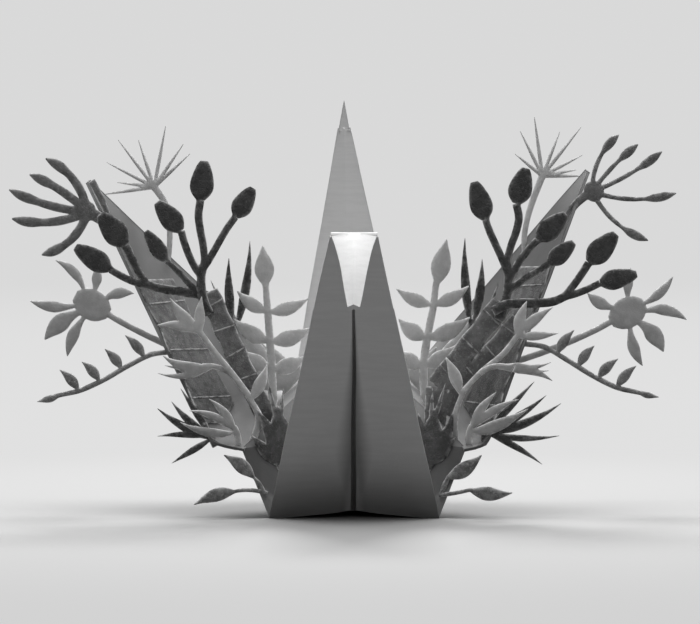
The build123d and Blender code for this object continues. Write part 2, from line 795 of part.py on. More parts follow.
add_plant(
    "low_buds", right_side,
    upright(right_side, hump_point(right_side, culm_seat, -hinge_half_chord), 0, 2 * culm_layer), draw_buds,
    [(9.6, 19.6), (12.8, 20.9), (18.7, 21.1), (22.8, 22.4)],
    [
        ([(22.0, 22.0), (23.6, 23.8), (25.2, 26.0), (26.6, 28.2)], (31.4, 33.3), 4.2),
        ([(22.0, 22.1), (24.6, 22.8), (26.6, 23.6), (28.6, 24.6)], (35.1, 26.2), 3.6),
    ],
)
add_plant(
    "grass_tuft", left_side,
    upright(left_side, hump_point(left_side, 0.094, -hinge_half_chord), 0, -culm_layer), draw_tuft,
    [(3.6, 11.2), (6.0, 12.4), (9.0, 12.7)],
    [
        ((6.8, 12.5), (15.9, 14.5), 2.2, -0.12),
        ((8.0, 12.7), (15.6, 12.8), 1.0, -0.06),
        ((7.4, 12.4), (16.8, 11.4), 1.2, -0.1),
    ],
    1.1,
)
add_plant(
    "grass_tuft", right_side,
    upright(right_side, hump_point(right_side, 0.094, -hinge_half_chord), 0, culm_layer), draw_tuft,
    [(4.4, 11.4), (6.4, 12.5), (9.4, 12.6)],
    [
        ((7.4, 12.6), (17.0, 13.4), 1.3, -0.08),
        ((8.4, 12.4), (16.6, 11.9), 1.0, -0.05),
        ((7.6, 12.3), (17.2, 10.1), 1.9, 0.1),
    ],
    1.1,
)

add_plant(
    "dark_spikes", left_side, upright(left_side, wing_point(left_side, 0.0, -19.5), 10), draw_tuft,
    [(-0.6, -0.8), (0.6, 1.4)],
    [
        ((-0.2, 0.4), (5.7, 9.5), 1.3),
        ((-0.2, 0.4), (7.3, 7.2), 1.5, -0.05),
        ((-0.2, 0.4), (9.8, 6.0), 1.6, -0.05),
        ((-0.2, 0.8), (9.8, 1.1), 1.2, 0.04),
        ((-0.2, 0.8), (7.3, -3.7), 1.2),
    ],
)
add_plant(
    "dark_spikes", right_side, upright(right_side, wing_point(right_side, 0.0, -19.5), 10), draw_tuft,
    [(0.0, -0.8), (-0.3, 3.3)],
    [
        ((-0.3, 1.8), (8.7, 11.2), 1.3),
        ((-0.3, 1.8), (10.8, 8.8), 1.4, -0.04),
        ((-0.3, 1.8), (13.4, 7.4), 1.6, -0.06),
        ((-0.3, 2.0), (13.1, 1.7), 1.2, -0.05),
        ((-0.3, 2.2), (10.1, -3.4), 1.2, 0.04),
    ],
)
add_plant(
    "pale_spikes", left_side, upright(left_side, shelf_point(left_side, 1.0, -18.9), 25), draw_tuft,
    [(0.0, -0.8), (-0.2, 1.6), (0.6, 3.6)],
    [
        ((0.2, 3.0), (5.3, 8.6), 1.6, 0.06),
        ((0.2, 2.8), (9.0, 6.6), 1.5, 0.08),
        ((0.2, 2.6), (10.7, 4.6), 1.6, -0.08),
        ((0.2, 2.6), (7.6, 3.0), 1.2, -0.06),
    ],
)
add_plant(
    "pale_spikes", right_side, upright(right_side, shelf_point(right_side, 1.0, -18.9), 25), draw_tuft,
    [(0.0, -0.8), (-0.4, 1.8), (0.2, 3.8)],
    [
        ((-0.2, 3.2), (4.9, 9.8), 1.7, 0.05),
        ((-0.2, 3.0), (9.1, 8.6), 1.6, 0.06),
        ((-0.2, 2.8), (10.9, 7.0), 1.9, -0.06),
        ((-0.2, 2.6), (7.6, 4.2), 1.2, -0.06),
    ],
)

add_plant(
    "low_leaves", left_side, front_panel(left_side), draw_tuft,
    [(0.4, 4.4), (2.9, 5.0), (6.8, 4.9)],
    [((6.2, 4.9), (14.0, 2.8), 2.4, 0.06), ((0.7, 4.3), (3.6, 8.2), 0.9), ((2.9, 7.2), (8.6, 11.4), 2.5, 0.05)],
    0.8,
)
add_plant(
    "low_leaves", right_side, front_panel(right_side), draw_tuft,
    [(0.2, 4.1), (2.9, 4.5), (6.4, 5.3)],
    [((5.8, 5.2), (13.8, 4.9), 2.5, -0.06), ((0.4, 4.1), (2.4, 8.2), 1.0), ((1.6, 7.2), (8.2, 11.4), 2.7, -0.06)],
    0.8,
)
add_plant(
    "broad_leaves", left_side, front_panel(left_side), draw_tuft,
    [(-2.0, 8.6), (-1.6, 12.0)],
    [
        ((-2.4, 8.2), (-1.2, 20.0), 5.6),
        ((-2.2, 8.6), (2.6, 19.4), 2.8, 0.05),
        ((-2.2, 8.6), (-4.4, 19.0), 3.0),
        ((-1.8, 9.2), (3.6, 14.8), 2.4),
        ((-1.6, 15.0), (0.4, 24.0), 0.9),
        ((-1.6, 15.0), (-2.4, 23.0), 0.9),
    ],
)
add_plant(
    "broad_leaves", right_side, front_panel(right_side), draw_tuft,
    [(-1.6, 9.0), (-1.2, 12.0)],
    [
        ((-1.8, 8.4), (-0.4, 19.4), 5.4),
        ((-1.6, 8.8), (3.0, 18.8), 2.8, -0.05),
        ((-1.6, 8.8), (-3.6, 18.6), 3.0),
        ((-1.4, 9.4), (3.4, 14.4), 2.4),
        ((-1.2, 15.0), (1.6, 24.0), 0.9),
        ((-1.2, 15.0), (-0.8, 23.0), 0.9),
    ],
)

# Each piece is written in the one frame of the whole
pieces = [crane.part] + plants
boxes = [piece.bounding_box() for piece in pieces]
middle = Vector(
    (min(box.min.X for box in boxes) + max(box.max.X for box in boxes)) / 2,
    (min(box.min.Y for box in boxes) + max(box.max.Y for box in boxes)) / 2,
    0,
)
for piece in pieces:
    piece.move(Location(-middle))
    export_step(piece, "parts/" + piece.label + ".step")
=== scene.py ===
import json
import math

import bmesh
import bpy
import numpy
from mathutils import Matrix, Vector, noise
from mathutils.geometry import delaunay_2d_cdt

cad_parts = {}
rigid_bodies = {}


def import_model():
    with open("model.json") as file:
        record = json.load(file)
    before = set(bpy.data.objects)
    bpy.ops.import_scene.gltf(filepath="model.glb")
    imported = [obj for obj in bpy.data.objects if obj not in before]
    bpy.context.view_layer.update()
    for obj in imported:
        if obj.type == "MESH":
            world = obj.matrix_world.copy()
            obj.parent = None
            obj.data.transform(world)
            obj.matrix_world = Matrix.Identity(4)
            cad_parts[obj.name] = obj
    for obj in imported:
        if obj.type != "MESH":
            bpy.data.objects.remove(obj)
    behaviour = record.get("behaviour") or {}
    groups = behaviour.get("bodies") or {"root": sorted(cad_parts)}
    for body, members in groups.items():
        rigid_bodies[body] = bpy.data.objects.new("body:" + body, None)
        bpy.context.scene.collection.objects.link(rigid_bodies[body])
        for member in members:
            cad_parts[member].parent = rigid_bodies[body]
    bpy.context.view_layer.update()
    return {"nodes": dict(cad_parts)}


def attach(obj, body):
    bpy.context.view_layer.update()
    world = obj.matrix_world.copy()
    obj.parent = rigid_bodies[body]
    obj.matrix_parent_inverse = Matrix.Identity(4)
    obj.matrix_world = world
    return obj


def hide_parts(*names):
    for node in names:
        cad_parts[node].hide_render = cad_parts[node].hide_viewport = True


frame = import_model()
nodes = sorted(frame["nodes"])
scene = bpy.context.scene

# Lengths are in millimetres, apart from those of the table and the lamps.
MM = 0.001
ON_TABLE = 0.05  # points of the crane below this height stand on the table


def base_centre():
    """Middle of the crane's open base, from its lowest points."""
    mesh = bpy.data.objects["crane"].data
    low = [vertex.co for vertex in mesh.vertices if vertex.co.z < ON_TABLE * MM]
    xs = [point.x for point in low]
    ys = [point.y for point in low]
    return Vector(((min(xs) + max(xs)) / 2, (min(ys) + max(ys)) / 2, 0))


base = base_centre()


# Node trees

def put(tree, value, node, into):
    """Set a node's input to a plain value, or join it to another node's output."""
    if isinstance(value, bpy.types.NodeSocket):
        tree.links.new(value, node.inputs[into])
    else:
        node.inputs[into].default_value = value


def add_node(tree, kind, choices=None, **values):
    """A new node with its choices made, and its inputs filled by name, with _ for a space."""
    node = tree.nodes.new(kind)
    for name, choice in (choices or {}).items():
        setattr(node, name, choice)
    for name, value in values.items():
        put(tree, value, node, name.replace("_", " "))
    return node


def grey(level):
    return (level, level, level, 1)


class Wiring:
    """The emptied shader tree of a material or world, with short ways to fill it."""

    def __init__(self, owner):
        self.owner = owner
        owner.use_nodes = True
        self.tree = owner.node_tree
        self.tree.nodes.clear()

    def add(self, kind, choices=None, **values):
        return add_node(self.tree, "ShaderNode" + kind, choices, **values)

    def place(self):
        """Where a point lies on its object, in metres."""
        return self.add("TexCoord").outputs["Object"]

    def axes(self, vector):
        return self.add("SeparateXYZ", Vector=vector).outputs

    def math(self, operation, *terms):
        node = self.add("Math", {"operation": operation})
        for index, term in enumerate(terms):
            put(self.tree, term, node, index)
        return node.outputs["Value"]

    def product(self, first, *others):
        for other in others:
            first = self.math("MULTIPLY", first, other)
        return first

    def ramp(self, value, start, end, low=0.0, high=1.0):
        """Eases from low to high while the value goes from start to end."""
        node = self.add(
            "MapRange", {"interpolation_type": "SMOOTHSTEP"},
            Value=value, From_Min=start, From_Max=end, To_Min=low, To_Max=high,
        )
        return node.outputs["Result"]

    def reach(self, value, start, end, low=0.0, high=1.0):
        """A ramp whose start and end are in millimetres."""
        return self.ramp(value, start * MM, end * MM, low, high)

    def noise(self, place, scale, detail=3.0, roughness=0.6):
        node = self.add("TexNoise", Vector=place, Scale=scale, Detail=detail, Roughness=roughness)
        return node.outputs["Fac"]

    def cell_edges(self, place, scale):
        """How far a point lies from the edge of its cell, in an uneven net of cells."""
        choices = {"feature": "DISTANCE_TO_EDGE"}
        node = self.add("TexVoronoi", choices, Vector=place, Scale=scale, Randomness=1.0)
        return node.outputs["Distance"]

    def blend(self, share, first, second):
        node = self.add("Mix", {"data_type": "RGBA"}, Factor=share, A=first, B=second)
        return node.outputs["Result"]

    def bump(self, height, strength, distance):
        node = self.add("Bump", Strength=strength, Distance=distance * MM, Height=height)
        return node.outputs["Normal"]

    def mixed(self, share, first, second):
        """The first shader where the share is 0, and the second where it is 1."""
        node = self.add("MixShader", Fac=share)
        put(self.tree, first.outputs[0], node, 1)
        put(self.tree, second.outputs[0], node, 2)
        return node

    def seen_directly(self):
        """1 for what the camera sees, also in gloss or through something clear."""
        path = self.add("LightPath").outputs
        shiny = self.math("MAXIMUM", path["Is Camera Ray"], path["Is Glossy Ray"])
        return self.math("MAXIMUM", shiny, path["Is Transmission Ray"])


# The cards' patterns. Each noise has its scale in cells a metre, its detail and its roughness,
# and each range says between which of its values the pattern comes in.

CARD_ROUGHNESS = 0.82
CARD_BUMP = (0.6, 0.06)  # how strong, and how deep
MOTTLE = (520.0, 4.0)
MOTTLE_RANGE = (0.36, 0.64)
MOTTLE_SPREAD = 0.6  # how much more the tone varies on a more flecked card
FLECKS = (1700.0, 5.0, 0.75)
FLECK_RANGE = (0.53, 0.66)
FLECK_LIFT = 2.6  # a fleck is so many times lighter than its card
LIGHTEST = 0.8
WEAR = (650.0,)
WEAR_RANGE = (0.36, 0.6)
SCORE_SCALE = 1500.0
SCORE_RANGE = (0.0, 0.12)
GRAIN = (3400.0, 3.0, 0.7)
GRAIN_SHARE = 0.35
ROOT_SHADE_HEIGHTS = (10.0, 46.0)  # painted shade at the roots: below the first a card is darkest, above the second it is unshaded


def card_finish(name, tone, rim_tone, fleck, score, dusted):
    """Cut card: mottled, flecked and scored, with painted shade towards the roots, and a paler
    worn cut edge.
    """
    finish = Wiring(bpy.data.materials.new(name))
    place = finish.place()
    rim = finish.add("Attribute", {"attribute_name": "rim"})

    mottle = finish.ramp(finish.noise(place, *MOTTLE), *MOTTLE_RANGE)
    spread = 1 + fleck * MOTTLE_SPREAD
    face = finish.blend(mottle, grey(tone / spread), grey(tone * spread))
    flecks = finish.ramp(finish.noise(place, *FLECKS), *FLECK_RANGE)
    light = grey(min(LIGHTEST, tone * FLECK_LIFT))
    flecked = finish.blend(finish.product(flecks, fleck), face, light)
    # painted shade: each card darkens towards its roots, low among the others
    clear = finish.reach(finish.axes(place)["Z"], *ROOT_SHADE_HEIGHTS, dusted, 1.0)
    root_shaded_colour = finish.add("VectorMath", {"operation": "SCALE"}, Vector=flecked, Scale=clear)
    worn = finish.ramp(finish.noise(place, *WEAR), *WEAR_RANGE)
    edge = finish.product(rim.outputs["Fac"], worn)
    colour = finish.blend(edge, root_shaded_colour.outputs["Vector"], grey(rim_tone))

    scores = finish.ramp(finish.cell_edges(place, SCORE_SCALE), *SCORE_RANGE)
    grain = finish.noise(place, *GRAIN)
    height = finish.math("ADD", finish.product(scores, score), finish.product(grain, GRAIN_SHARE))
    shader = finish.add(
        "BsdfPrincipled", Base_Color=colour, Roughness=CARD_ROUGHNESS,
        Normal=finish.bump(height, *CARD_BUMP),
    )
    finish.add("OutputMaterial", Surface=shader.outputs["BSDF"])
    return finish.owner


# The crane's paper, with painted grey shade on its wings and sides and painted shade on the
# neck. Each span below says where the painted shade changes, and then how strong it is at the
# two ends, where that isn't 0 and 1.

PAPER_ROUGHNESS = 0.86
PAPER_BUMP = (0.35, 0.05)
PAPER_MOTTLE = (160.0, 4.0)
PAPER_FIBRES = (520.0,)
FIBRE_STRETCH = (0.25, 1.0, 2.5)
PAPER_GRAIN = (2600.0, 4.0)
PAPER_WAVES = (320.0,)
WAVE_SHARE = 2.0
PAPER_TONES = (0.755, 0.83)
# painted shade: the grey laid on the wings and body sides where they look forward rather than up
PAINTED_SHADE_TONES = (0.12, 0.2)
# painted shade along the neck's slit and at its foot
SHADE_TONE = 0.05
WING_OUT = (6.0, 18.0)  # from the middle of the base, as are the heights and depths
WING_HEIGHT = (74.0, 46.0, 0.55, 1.0)
WING_DEPTH = (26.0, 8.0, 0.5, 1.0)
SIDE_OUT = (6.0, 10.0, 0.6, 0.93)
SIDE_HEIGHT = (44.0, 24.0)
SIDE_DEPTH = (12.0, 2.0)
OUTER_EDGE = (0.2, 0.4, 1.0, 0.4)  # how far a face looks outwards; the wings' outer edges get less painted shade
FACE_TURN = (0.15, -0.4, 0.3, 1.0)  # how far a face looks back, less how far it looks up; faces that look forward and not up get the painted shade
NECK_LEAN = math.radians(25.0)
NECK_FOOT = 15.0  # from the middle of the base to the foot of the neck
NECK_FACE = (-1.9, -1.3)  # forwards from the neck's front, as is the next
NECK_BACK = (-1.0, -2.2)
SLIT_HEIGHT = (36.0, 2.0)
SLIT_TOP = (37.0, 33.0)
SLIT_REACH = 4.2  # how far the slit's shade widens from its top to its foot
SLIT_LEAST = 0.12  # its width at the top, as a share of that
SLIT_SHADE = (1.0, 0.0, 0.0, 0.62)
FOOT_HEIGHT = (13.0, -1.0, 0.0, 0.66)


def crane_paper():
    """White folding paper with a fine felt grain. Its wings and sides get painted grey shade
    where they look forward rather than up, and the neck gets painted shade along its slit and at
    its foot."""
    finish = Wiring(bpy.data.materials.new("white paper"))
    place = finish.place()
    spot = finish.axes(place)
    facing = finish.axes(finish.add("NewGeometry").outputs["Normal"])
    across = finish.math("SUBTRACT", spot["X"], base.x)
    out = finish.math("ABSOLUTE", across)
    depth = finish.math("SUBTRACT", spot["Y"], base.y)
    high = spot["Z"]

    mottle = finish.noise(place, *PAPER_MOTTLE)
    drawn = finish.add("VectorMath", {"operation": "MULTIPLY"})
    put(finish.tree, place, drawn, 0)
    put(finish.tree, FIBRE_STRETCH, drawn, 1)
    fibres = finish.noise(drawn.outputs["Vector"], *PAPER_FIBRES)
    felt = finish.product(finish.math("ADD", mottle, finish.ramp(fibres, *MOTTLE_RANGE)), 0.5)
    paper = finish.blend(felt, *(grey(tone) for tone in PAPER_TONES))
    painted_shade_grey = finish.blend(mottle, *(grey(tone) for tone in PAINTED_SHADE_TONES))

    lean = finish.product(high, math.tan(NECK_LEAN))
    ahead = finish.math("SUBTRACT", finish.math("SUBTRACT", -NECK_FOOT * MM, lean), depth)
    outwards = finish.product(facing["X"], finish.math("SIGN", across))
    # painted shade on the wings, and on the body's sides beside the neck, only where faces look
    # forward
    wing_painted_shade = finish.product(
        finish.reach(out, *WING_OUT),
        finish.reach(high, *WING_HEIGHT),
        finish.reach(depth, *WING_DEPTH),
        finish.ramp(outwards, *OUTER_EDGE),
    )
    side_painted_shade = finish.product(
        finish.reach(high, *SIDE_HEIGHT),
        finish.reach(depth, *SIDE_DEPTH),
        finish.reach(out, *SIDE_OUT),
    )
    backwards = finish.math("SUBTRACT", facing["Y"], facing["Z"])
    facing_shade_share = finish.product(
        finish.ramp(backwards, *FACE_TURN), finish.reach(ahead, *NECK_BACK)
    )
    painted_shade_share = finish.product(finish.math("MAXIMUM", wing_painted_shade, side_painted_shade), facing_shade_share)
    colour = finish.blend(painted_shade_share, paper, painted_shade_grey)

    # painted shade on the neck: along its slit, widening towards the foot, and at the foot by the
    # table
    below = finish.reach(high, *SLIT_HEIGHT)
    width = finish.product(finish.math("ADD", below, SLIT_LEAST), SLIT_REACH * MM)
    slit = finish.product(
        finish.ramp(finish.math("DIVIDE", out, width), *SLIT_SHADE),
        finish.reach(high, *SLIT_TOP),
    )
    foot = finish.reach(high, *FOOT_HEIGHT)
    shade = finish.product(finish.reach(ahead, *NECK_FACE), finish.math("MAXIMUM", slit, foot))
    shaded = finish.blend(shade, colour, grey(SHADE_TONE))

    grain = finish.noise(place, *PAPER_GRAIN)
    waves = finish.product(finish.noise(place, *PAPER_WAVES), WAVE_SHARE)
    height = finish.math("ADD", grain, waves)
    shader = finish.add(
        "BsdfPrincipled", Base_Color=shaded, Roughness=PAPER_ROUGHNESS,
        Normal=finish.bump(height, *PAPER_BUMP),
    )
    finish.add("OutputMaterial", Surface=shader.outputs["BSDF"])
    return finish.owner


# Each card's own tone and its cut edge's, how flecked and how scored it is, and how much of
# its tone is left at the root under the painted shade
CARD_TONES = {
    "charcoal": (0.042, 0.55, 0.75, 1.4, 0.9),
    "slate": (0.13, 0.6, 0.6, 1.0, 0.45),
    "ash": (0.17, 0.7, 0.5, 0.8, 0.7),
    "flint": (0.22, 0.7, 0.5, 0.8, 1.0),
    "smoke": (0.23, 0.9, 0.75, 1.0, 1.0),
    "stone": (0.54, 1.0, 0.15, 0.25, 0.72),
    "pearl": (0.66, 1.0, 0.12, 0.25, 0.6),
}
finishes = {name: card_finish(name + " card", *tones) for name, tones in CARD_TONES.items()}

# The finish and the record's slot of each kind of card
cards = {
    "palm_spray": ("ash", "dark_card"),
    "tall_buds": ("charcoal", "black_card"),
    "low_buds": ("charcoal", "black_card"),
    "dark_spikes": ("charcoal", "black_card"),
    "low_leaves": ("smoke", "black_card"),
    "long_blades": ("charcoal", "black_card"),
    "jointed_stalk": ("ash", "dark_card"),
    "wing_stalk": ("slate", "dark_card"),
    "broad_leaves": ("slate", "dark_card"),
    "vine": ("flint", "dark_card"),
    "star_flower": ("stone", "grey_card"),
    "paired_leaves": ("stone", "grey_card"),
    "root_leaves": ("stone", "grey_card"),
    "grass_tuft": ("stone", "grey_card"),
    "needle_fan": ("pearl", "pale_card"),
    "pale_sprig": ("pearl", "pale_card"),
    "pale_spikes": ("pearl", "pale_card"),
}


# The cut cards. Their outlines are read from the CAD cards, on each card's own plane.

SAME_WAY = 0.9998  # faces whose directions agree this closely face the same way
WELD_GAP = 0.001  # points closer than this are one point
RAISED = 0.05  # a joint stands at least this far before its card
OUTLINE_STEP = 0.24
SHORTEST_SIDE = 0.04
CORNER = math.radians(42)  # an outline stays straight towards sharper turns than this
SHARP_TIP = math.radians(100)
TIP_SOFTENING = 0.1
SOFTENING = 0.3
FACE_STEP = 0.5
ROW_STEP = 0.87  # between staggered rows, as a share of the face step
CHUNK = 600  # spots measured at a time
EDGE_ROUND = 0.24  # how far in the pressed edge of a cut card reaches
EDGE_DROP = 0.11
EDGE_WEAR = 1.25
INSETS = (0.07, 0.19)
INSET_SLACK = 0.93
GRID_GAP = 0.35  # between the grid and the last inset, as a share of the face step
RIPPLE_RATE = 0.35
RIPPLE_DEPTH = 0.02
RIPPLE_SIDES = 0.2  # how far apart the two sides lie in the ripple's noise
INSIDE_OUTLINES = 2  # the triangulation keeps what lies inside the outlines
SAME_SPOT = 1e-5
CARD_CRISP = 38  # card and paper stay sharp at folds of more degrees
PAPER_CRISP = 9


def welded_copy(node):
    """A merged copy of a CAD node's mesh."""
    welded = bmesh.new()
    welded.from_mesh(bpy.data.objects[node].data)
    bmesh.ops.remove_doubles(welded, verts=welded.verts, dist=WELD_GAP * MM)
    welded.normal_update()
    return welded


class CardPlane:
    """The flat card of a CAD node: its directions, its two levels, and its outline."""

    def __init__(self, node):
        welded = welded_copy(node)
        self.front = self.facing(welded)
        self.up = (Vector((0, 0, 1)) - self.front * self.front.z).normalized()
        self.right = self.up.cross(self.front)
        back = self.flattest(welded, -self.front)
        fore = self.flattest(welded, self.front)
        self.back_level = back[0].verts[0].co.dot(self.front) / MM
        self.front_level = fore[0].verts[0].co.dot(self.front) / MM
        self.loops = self.outline(back)
        raised = [
            face for face in welded.faces
            if face.normal.dot(self.front) > SAME_WAY
            and face.calc_center_median().dot(self.front) / MM > self.front_level + RAISED
        ]
        self.raised = self.strips(raised)
        welded.free()

    @staticmethod
    def facing(welded):
        """The direction that most of the card faces, on the viewer's side."""
        areas = []
        for face in welded.faces:
            for entry in areas:
                if face.normal.dot(entry[0]) > SAME_WAY:
                    entry[1] += face.calc_area()
                    break
            else:
                areas.append([face.normal.copy(), face.calc_area()])
        front = max(areas, key=lambda entry: entry[1])[0]
        return front if front.y < 0 else -front

    @staticmethod
    def flattest(welded, direction):
        """The faces of the largest flat level that faces the given way."""
        levels = {}
        for face in welded.faces:
            if face.normal.dot(direction) > SAME_WAY:
                level = round(face.calc_center_median().dot(direction) / MM, 2)
                levels.setdefault(level, []).append(face)
        return max(levels.values(), key=lambda faces: sum(face.calc_area() for face in faces))

    def flat(self, point):
        return (point.dot(self.right) / MM, point.dot(self.up) / MM)

    def outline(self, faces):
        """The closed outlines round the faces, anticlockwise as the viewer sees them."""
        inside = set(faces)
        following = {}
        for face in faces:
            for corner in face.loops:
                if sum(other in inside for other in corner.edge.link_faces) == 1:
                    following.setdefault(corner.link_loop_next.vert, []).append(corner.vert)
        loops = []
        while following:
            start = next(iter(following))
            loop = []
            at = start
            while True:
                loop.append(self.flat(at.co))
                onwards = following[at]
                after = onwards.pop()
                if not onwards:
                    del following[at]
                at = after
                if at is start or at not in following:
                    break
            loops.append(loop)
        return loops

    def strips(self, faces):
        """The middle line of each raised strip: its two ends on the card's plane."""
        left = dict.fromkeys(faces)
        lines = []
        while left:
            group = [next(iter(left))]
            del left[group[0]]
            for member in group:
                for edge in member.edges:
                    for other in edge.link_faces:
                        if other in left:
                            del left[other]
                            group.append(other)
            spots = [Vector(self.flat(corner.co)) for face in group for corner in face.verts]
            centre = sum(spots, Vector((0, 0))) / len(spots)
            far = max(spots, key=lambda spot: (spot - centre).length)
            outwards = (far - centre).normalized()
            near = min(spots, key=lambda spot: (spot - centre).normalized().dot(outwards))
            along = (far - near).normalized()
            reach = [(spot - centre).dot(along) for spot in spots]
            lines.append((centre + along * min(reach), centre + along * max(reach)))
        return lines

    def place(self, x, y, level):
        """A point on the card's plane, in metres in the frame."""
        return (self.right * x + self.up * y + self.front * level) * MM


def rounded_outline(points):
    """A cut line through the given corners: a cubic curve from each corner a to the next one b,
    straight towards a sharp turn."""
    kept = [Vector(point) for point in points]
    kept = [p for i, p in enumerate(kept) if (p - kept[i - 1]).length > SHORTEST_SIDE]
    count = len(kept)
    turns = []
    for i in range(count):
        before = kept[i] - kept[i - 1]
        after = kept[(i + 1) % count] - kept[i]
        turns.append(abs(before.angle_signed(after, 0.0)))
    cut = []
    for i in range(count):
        a, b = kept[i], kept[(i + 1) % count]
        run = b - a
        length = run.length
        slopes = []
        for j, turn in ((i, turns[i]), ((i + 1) % count, turns[(i + 1) % count])):
            around = kept[(j + 1) % count] - kept[j - 1]
            span = (kept[(j + 1) % count] - kept[j]).length + (kept[j] - kept[j - 1]).length
            slopes.append(run if turn > CORNER else around / span * length)
        steps = max(1, round(length / OUTLINE_STEP))
        for k in range(steps):
            t = k / steps
            spot = (
                a * (2 * t**3 - 3 * t**2 + 1) + slopes[0] * (t**3 - 2 * t**2 + t)
                + b * (3 * t**2 - 2 * t**3) + slopes[1] * (t**3 - t**2)
            )
            cut.append((spot, turns[i] if k == 0 else 0.0))
    softened = []
    for i, (spot, turn) in enumerate(cut):
        before, after = cut[i - 1][0], cut[(i + 1) % len(cut)][0]
        share = TIP_SOFTENING if turn > SHARP_TIP else SOFTENING
        softened.append(spot * (1 - share) + (before + after) * (share / 2))
    return numpy.array([(spot.x, spot.y) for spot in softened])


def edge_distance(spots, loops):
    """How far each spot lies from the nearest cut edge."""
    starts = numpy.concatenate(loops)
    ends = numpy.concatenate([numpy.roll(loop, -1, axis=0) for loop in loops])
    runs = ends - starts
    squares = numpy.maximum((runs**2).sum(axis=1), 1e-12)
    nearest = []
    for chunk in numpy.array_split(spots, max(1, len(spots) // CHUNK)):
        offset = chunk[:, None, :] - starts[None, :, :]
        share = numpy.clip((offset * runs).sum(axis=2) / squares, 0, 1)
        gaps = ((offset - share[:, :, None] * runs) ** 2).sum(axis=2)
        nearest.append(numpy.sqrt(gaps.min(axis=1)))
    return numpy.concatenate(nearest)


def within(spots, loops):
    """Which spots lie on the card."""
    crossings = numpy.zeros(len(spots), dtype=int)
    for loop in loops:
        ahead = numpy.roll(loop, -1, axis=0)
        for (x1, y1), (x2, y2) in zip(loop, ahead):
            if y1 == y2:
                continue
            spans = (spots[:, 1] >= min(y1, y2)) & (spots[:, 1] < max(y1, y2))
            crossings += spans & (spots[:, 0] < x1 + (spots[:, 1] - y1) * (x2 - x1) / (y2 - y1))
    return crossings % 2 == 1


def face_spots(loops):
    """Evenly staggered spots on a card, and rows of them that follow its cut edge."""
    every = numpy.concatenate(loops)
    low, high = every.min(axis=0), every.max(axis=0)
    spots = []
    for row in range(int((high[1] - low[1]) / (FACE_STEP * ROW_STEP)) + 1):
        shift = FACE_STEP / 2 if row % 2 else 0.0
        for column in range(int((high[0] - low[0]) / FACE_STEP) + 1):
            spots.append(
                (low[0] + shift + column * FACE_STEP, low[1] + row * FACE_STEP * ROW_STEP)
            )
    grid = numpy.array(spots)
    grid = grid[within(grid, loops)]
    grid = grid[edge_distance(grid, loops) > INSETS[-1] + FACE_STEP * GRID_GAP]
    rows = [grid]
    for inset in INSETS:
        for loop in loops:
            along = numpy.roll(loop, -1, axis=0) - numpy.roll(loop, 1, axis=0)
            along /= numpy.maximum(numpy.linalg.norm(along, axis=1), 1e-9)[:, None]
            moved = loop + numpy.stack((-along[:, 1], along[:, 0]), axis=1) * inset
            rows.append(moved[edge_distance(moved, loops) > inset * INSET_SLACK])
    return numpy.concatenate(rows)


def crease_height(inset, form):
    """How far the card's middle is pressed forward of its cut edges."""
    reach, lift = form
    share = numpy.clip(inset / reach, 0, 1)
    return lift * share * (2 - share)


def dress_card(node, form):
    """A cut card with rounded edges and a slightly pressed face, both sides alike."""
    card = CardPlane(node)
    loops = [rounded_outline(loop) for loop in card.loops if len(loop) > 2]
    spots = [Vector(point) for loop in loops for point in loop]
    edges = []
    for loop in loops:
        first = len(edges)
        edges += [(first + i, first + (i + 1) % len(loop)) for i in range(len(loop))]
    spots += [Vector(point) for point in face_spots(loops)]
    spots, _, faces, _, _, _ = delaunay_2d_cdt(spots, edges, [], INSIDE_OUTLINES, SAME_SPOT)
    used = sorted({index for face in faces for index in face})
    renumber = {index: new for new, index in enumerate(used)}
    flat = numpy.array([spots[index] for index in used])
    inset = edge_distance(flat, loops)
    rim = numpy.clip(1 - inset / EDGE_ROUND, 0, 1)
    lift = crease_height(inset, form)

    mesh = bmesh.new()
    worn = mesh.verts.layers.float.new("rim")
    sides = []
    for level, way in ((card.front_level, 1), (card.back_level, -1)):
        side = []
        for (x, y), soft, raise_by in zip(flat, rim, lift):
            ripple_at = Vector((x * RIPPLE_RATE, y * RIPPLE_RATE, way * RIPPLE_SIDES))
            ripple = noise.noise(ripple_at) * RIPPLE_DEPTH
            z = level + raise_by - way * EDGE_DROP * soft**2 + ripple
            vertex = mesh.verts.new(card.place(x, y, z))
            vertex[worn] = min(1.0, EDGE_WEAR * float(soft))
            side.append(vertex)
        sides.append(side)
    front, back = sides
    runs = {}
    for face in faces:
        corners = [renumber[index] for index in face]
        a, b, c = (flat[index] for index in corners)
        if (b[0] - a[0]) * (c[1] - a[1]) - (b[1] - a[1]) * (c[0] - a[0]) < 0:
            corners.reverse()
        mesh.faces.new([front[index] for index in corners])
        mesh.faces.new([back[index] for index in reversed(corners)])
        runs.update(dict.fromkeys(zip(corners, corners[1:] + corners[:1])))
    for start, end in runs:
        if (end, start) not in runs:
            mesh.faces.new((front[end], front[start], back[start], back[end]))
    return card, mesh


def finish_piece(name, mesh, finish, node, crisp):
    """Put a finished mesh into the scene for its CAD node."""
    data = bpy.data.meshes.new(name)
    mesh.to_mesh(data)
    mesh.free()
    data.materials.append(finish)
    data.shade_smooth()
    data.set_sharp_from_angle(angle=math.radians(crisp))
    piece = bpy.data.objects.new(name, data)
    scene.collection.objects.link(piece)
    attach(piece, "root")
    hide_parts(node)


# Raised joints and folded edges: a rounded bead laid along each line

JOINT_RADIUS = 0.2
JOINT_SINK = 0.07
JOINT_STEP = 0.35
JOINT_WANDER = 0.12
JOINT_WEAR = 0.55
BEAD_SIDES = 8
WANDER_SCALE = 900.0
NOISE_MIDDLE = (0.5, 0.5, 0.5)
BEAD_INPUTS = {
    "Bead radius": "Float", "Bead step": "Float", "Wander": "Float", "Seed": "Float",
    "Finish": "Material",
}


